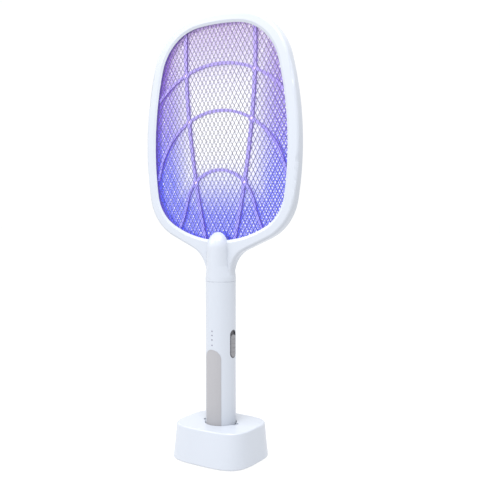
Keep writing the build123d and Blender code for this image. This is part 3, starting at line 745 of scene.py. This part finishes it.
class SWATTER_OT_lamps(bpy.types.Operator):
    """Finish the violet lamps and the indicator lights"""

    bl_idname = "swatter.lamps"
    bl_label = "Lamps and indicators"

    def execute(self, context):
        paint(clear_lens("violet_lamp", (0.16, 0.08, 0.95), 1.6), "uv_lamps")
        paint(clear_lens("smoked_indicator", (0.24, 0.23, 0.30), 0.0), "indicator_lights")
        return {"FINISHED"}


class SWATTER_OT_grip(bpy.types.Operator):
    """Finish the grip inlay and the slide switch"""

    bl_idname = "swatter.grip"
    bl_label = "Grip and switch"

    def execute(self, context):
        colours = context.scene.swatter_colours
        paint(soft_touch("grip_inlay", tuple(colours.grip)), "grip_panel")
        paint(moulded_plastic("switch_knob_grey", tuple(colours.switch), gloss=0.42, coat=0.0),
              "switch_knob")
        paint(moulded_plastic("switch_bezel_dark", tuple(colours.bezel), gloss=0.42, coat=0.0),
              "switch_bezel")
        return {"FINISHED"}


class SWATTER_OT_metalwork(bpy.types.Operator):
    """Finish the screws, contacts, springs and charging port"""

    bl_idname = "swatter.metalwork"
    bl_label = "Metalwork"

    def execute(self, context):
        paint(plated_metal("zinc_screw", (0.55, 0.55, 0.57)),
              "frame_screws", "handle_screws", "base_screws")
        paint(plated_metal("gold_contact", (0.86, 0.66, 0.30), 0.20),
              "charge_contacts", "left_charging_pin", "right_charging_pin")
        paint(plated_metal("bright_steel", (0.70, 0.70, 0.72), 0.24),
              "battery_contacts", "charge_port", "slide_switch")
        steel = plated_metal("spring_steel", (0.62, 0.62, 0.64), 0.26)
        for side in ("left", "right"):
            self.wind_spring(context, side, steel)
        return {"FINISHED"}

    def wind_spring(self, context, side, steel):
        """A pin's coil in spring steel, copied from the CAD spring with its doubled points merged.
        """
        node = f"{side}_pin_spring"
        shape = bmesh.new()
        shape.from_mesh(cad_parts[node].data)
        bmesh.ops.remove_doubles(shape, verts=shape.verts, dist=1e-7)
        mesh = bpy.data.meshes.new(f"{side}_pin_coil")
        shape.to_mesh(mesh)
        shape.free()
        mesh.materials.clear()
        mesh.materials.append(steel)
        coil = bpy.data.objects.new(mesh.name, mesh)
        context.scene.collection.objects.link(coil)
        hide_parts(node)
        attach(coil, "base")
        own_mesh(coil)


class SWATTER_OT_electronics(bpy.types.Operator):
    """Finish the boards, the cell, the high-voltage parts and their leads"""

    bl_idname = "swatter.electronics"
    bl_label = "Electronics"

    def execute(self, context):
        paint(circuit_board("green_board"), "main_board", "lamp_board", "base_board")
        paint(shrink_wrap("cell_wrap", (0.03, 0.12, 0.24), (0.55, 0.57, 0.60)), "battery_cell")
        paint(moulded_plastic("dark_ferrite", (0.06, 0.055, 0.055), gloss=0.6, coat=0.0),
              "high_voltage_transformer")
        paint(moulded_plastic("dipped_film", (0.34, 0.07, 0.03), gloss=0.2, coat=0.5),
              "high_voltage_capacitor")
        paint(insulated_wire("red_lead", (0.50, 0.03, 0.02)), "grid_leads")
        paint(insulated_wire("black_lead", (0.03, 0.03, 0.035)), "lamp_leads", "charging_leads")
        return {"FINISHED"}


class SWATTER_OT_underside(bpy.types.Operator):
    """Finish the base's rubber feet and ballast"""

    bl_idname = "swatter.underside"
    bl_label = "Feet and ballast"

    def execute(self, context):
        paint(foot_rubber("foot_rubber"), "rubber_feet")
        paint(rough_casting("ballast_casting", (0.10, 0.10, 0.105)), "ballast_weights")
        return {"FINISHED"}


class SWATTER_OT_stage(bpy.types.Operator):
    """Set the pale floor, the soft studio lights and the camera"""

    bl_idname = "swatter.stage"
    bl_label = "Stage"

    def execute(self, context):
        settings = context.scene.swatter_stage
        self.lay_floor(context)
        self.set_surround(context, settings)
        self.hang_lights(context, settings)
        self.stand_camera(context, settings)
        return {"FINISHED"}

    def lay_floor(self, context):
        """A plain pale floor under the rubber feet, lit evenly like a studio table."""
        corners = [(x * FLOOR_HALF, y * FLOOR_HALF, 0.0)
                   for x, y in ((-1, -1), (1, -1), (1, 1), (-1, 1))]
        mesh = bpy.data.meshes.new("floor")
        mesh.from_pydata(corners, [], [(0, 1, 2, 3)])
        floor = bpy.data.objects.new("floor", mesh)
        floor.location.z = cad_box[0].z - FLOOR_GAP
        context.scene.collection.objects.link(floor)
        finish = Finish("pale_floor")
        cloud = finish.noise(0.4, 3.0)
        mesh.materials.append(finish.surface(
            base_color=finish.mix(cloud, (0.30, 0.30, 0.302), (0.33, 0.33, 0.332)),
            roughness=0.8, specular=0.1,
            emission_color=(1.0, 1.0, 1.0), emission_strength=0.72))

    def set_surround(self, context, settings):
        """Even white surroundings."""
        world = bpy.data.worlds.new("studio")
        context.scene.world = world
        world.use_nodes = True
        shade = world.node_tree.nodes["Background"].inputs
        shade["Color"].default_value = (1.0, 1.0, 1.0, 1.0)
        shade["Strength"].default_value = settings.surround
        context.scene.view_settings.view_transform = "Standard"

    def hang_lights(self, context, settings):
        """A large key light in front on the left, and a soft top light."""
        lamps = (("key", KEY_PLACE, KEY_WIDTH, settings.key, (1.0, 0.99, 0.97)),
                 ("top", TOP_PLACE, TOP_WIDTH, settings.top, (0.97, 0.98, 1.0)))
        for name, place, width, power, colour in lamps:
            light = bpy.data.lights.new(name, "AREA")
            light.size = width
            light.energy = power
            light.color = colour
            lamp = bpy.data.objects.new(name, light)
            lamp.location = place
            aim = LIT_POINT - lamp.location
            lamp.rotation_euler = aim.to_track_quat("-Z", "Y").to_euler()
            context.scene.collection.objects.link(lamp)

    def stand_camera(self, context, settings):
        """A camera in front on the right, level with the neck, looking slightly down."""
        forward = Vector((-math.sin(settings.azimuth), math.cos(settings.azimuth), 0.0))
        right = Vector((math.cos(settings.azimuth), math.sin(settings.azimuth), 0.0))
        up = Vector((0.0, 0.0, 1.0))
        look = forward + right * math.tan(settings.pan) - up * math.tan(settings.tilt)
        camera = bpy.data.objects.new("camera", bpy.data.cameras.new("camera"))
        camera.location = up * settings.height - forward * settings.distance
        camera.rotation_euler = look.to_track_quat("-Z", "Y").to_euler()
        camera.data.lens = settings.lens
        camera.data.shift_y = settings.lift
        camera.data.dof.use_dof = False
        context.scene.collection.objects.link(camera)
        context.scene.camera = camera


class SWATTER_PT_panel(bpy.types.Panel):
    """Lists the swatter's pieces and its settings"""

    bl_idname = "SWATTER_PT_panel"
    bl_label = "Electric fly swatter"
    bl_space_type = "VIEW_3D"
    bl_region_type = "UI"
    bl_category = "Swatter"

    def draw(self, context):
        for operator in OPERATORS:
            self.layout.operator(operator.bl_idname)
        for settings in (context.scene.swatter_sizes, context.scene.swatter_colours,
                         context.scene.swatter_stage):
            box = self.layout.box()
            for name in settings.__annotations__:
                box.prop(settings, name)


OPERATORS = (
    SWATTER_OT_stage,
    SWATTER_OT_shells,
    SWATTER_OT_meshes,
    SWATTER_OT_grid,
    SWATTER_OT_web,
    SWATTER_OT_lamps,
    SWATTER_OT_grip,
    SWATTER_OT_metalwork,
    SWATTER_OT_electronics,
    SWATTER_OT_underside,
)
SETTINGS = {
    "swatter_sizes": SwatterSizes,
    "swatter_colours": SwatterColours,
    "swatter_stage": SwatterStage,
}


def register():
    for kind in (*SETTINGS.values(), *OPERATORS, SWATTER_PT_panel):
        bpy.utils.register_class(kind)
    for name, kind in SETTINGS.items():
        setattr(bpy.types.Scene, name, bpy.props.PointerProperty(type=kind))


def unregister():
    for name in SETTINGS:
        delattr(bpy.types.Scene, name)
    for kind in reversed((*SETTINGS.values(), *OPERATORS, SWATTER_PT_panel)):
        bpy.utils.unregister_class(kind)


def main():
    register()
    for operator in OPERATORS:
        group, name = operator.bl_idname.split(".")
        getattr(getattr(bpy.ops, group), name)()


if __name__ == "__main__":
    main()
